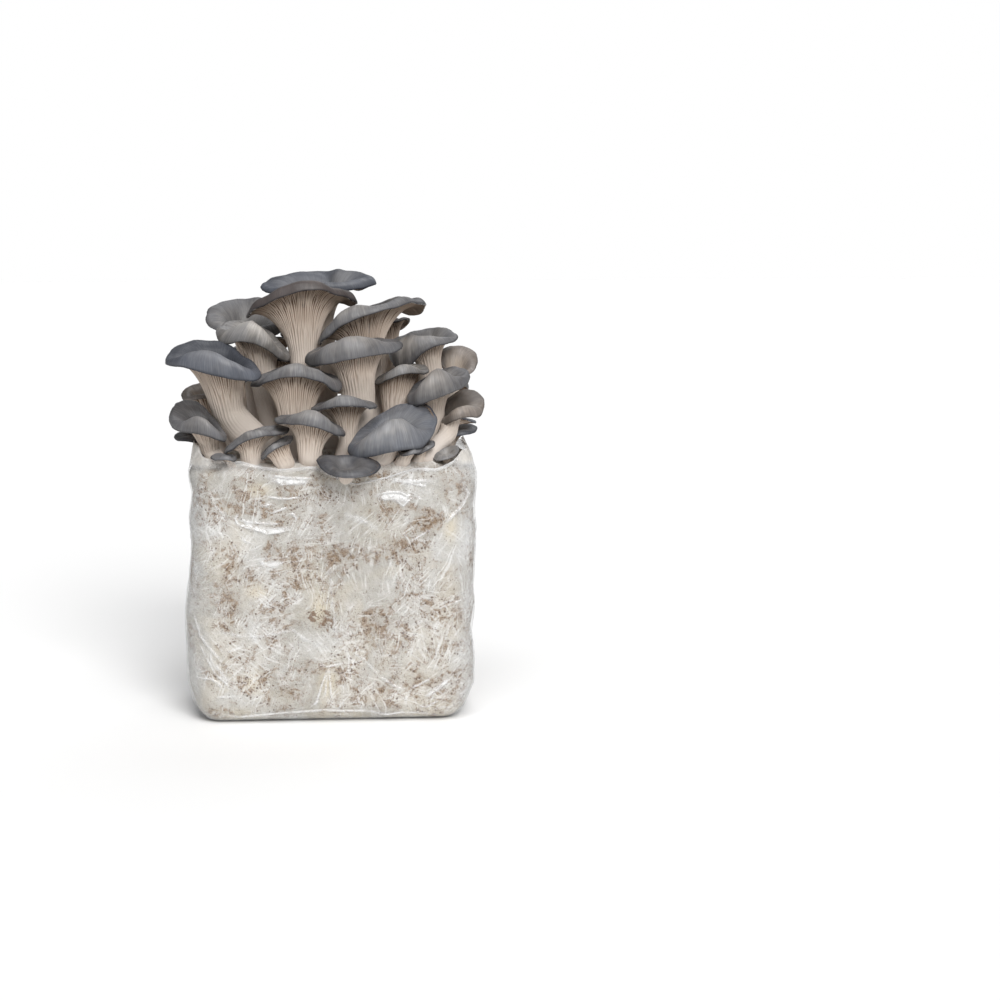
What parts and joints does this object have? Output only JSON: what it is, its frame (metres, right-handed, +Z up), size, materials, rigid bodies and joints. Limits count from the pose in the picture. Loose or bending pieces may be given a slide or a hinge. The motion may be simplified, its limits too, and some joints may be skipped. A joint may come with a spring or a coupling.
{
  "type": "oyster mushroom grow kit",
  "caption": "Block of sawdust and white mycelium in a clear open-topped film bag, with a cluster of grey oyster mushrooms on funnel-shaped stems growing out of its top.",
  "frame": {"origin": "centre of the bag's flat underside, where the kit stands", "axes": "+Z up, -Y towards the front, where the film dips round the lowest mushroom, +X to the right as seen from the front"},
  "size_m": [0.2319, 0.1992, 0.3176],
  "materials": {
    "mycelium_block": "matte",
    "clear_film": "gloss",
    "mushroom_flesh": "satin"
  },
  "bodies": {
    "root": {"substrate_block": "mycelium_block", "bag": "clear_film", "mushroom_crown_front": "mushroom_flesh", "mushroom_crown_back": "mushroom_flesh", "mushroom_upper_left_back": "mushroom_flesh", "mushroom_upper_left": "mushroom_flesh", "mushroom_upper_right": "mushroom_flesh", "mushroom_big_left": "mushroom_flesh", "mushroom_centre": "mushroom_flesh", "mushroom_right_of_centre": "mushroom_flesh", "mushroom_right_folded": "mushroom_flesh", "mushroom_right_back": "mushroom_flesh", "mushroom_right_inner": "mushroom_flesh", "mushroom_right_outer": "mushroom_flesh", "mushroom_right_leaning": "mushroom_flesh", "mushroom_centre_small": "mushroom_flesh", "mushroom_front_right_big": "mushroom_flesh", "mushroom_front_centre": "mushroom_flesh", "mushroom_front_left": "mushroom_flesh", "mushroom_front_left_small": "mushroom_flesh", "mushroom_left_low": "mushroom_flesh", "mushroom_left_back": "mushroom_flesh", "mushroom_left_dark": "mushroom_flesh", "mushroom_left_bud": "mushroom_flesh", "mushroom_lowest": "mushroom_flesh", "mushroom_right_low": "mushroom_flesh", "mushroom_right_bud": "mushroom_flesh", "mushroom_front_right_bud": "mushroom_flesh", "mushroom_front_right_bud_2": "mushroom_flesh", "mushroom_inner_left": "mushroom_flesh", "mushroom_inner_low_left": "mushroom_flesh", "mushroom_rear_crown": "mushroom_flesh", "mushroom_rear_upper_left": "mushroom_flesh", "mushroom_rear_upper_right": "mushroom_flesh", "mushroom_rear_right": "mushroom_flesh", "mushroom_rear_left": "mushroom_flesh", "mushroom_rear_centre": "mushroom_flesh", "mushroom_rear_low_left": "mushroom_flesh", "mushroom_rear_low_right": "mushroom_flesh", "mushroom_rear_corner_left": "mushroom_flesh", "mushroom_rear_corner_right": "mushroom_flesh", "mushroom_rear_bud": "mushroom_flesh"}
  },
  "joints": []
}
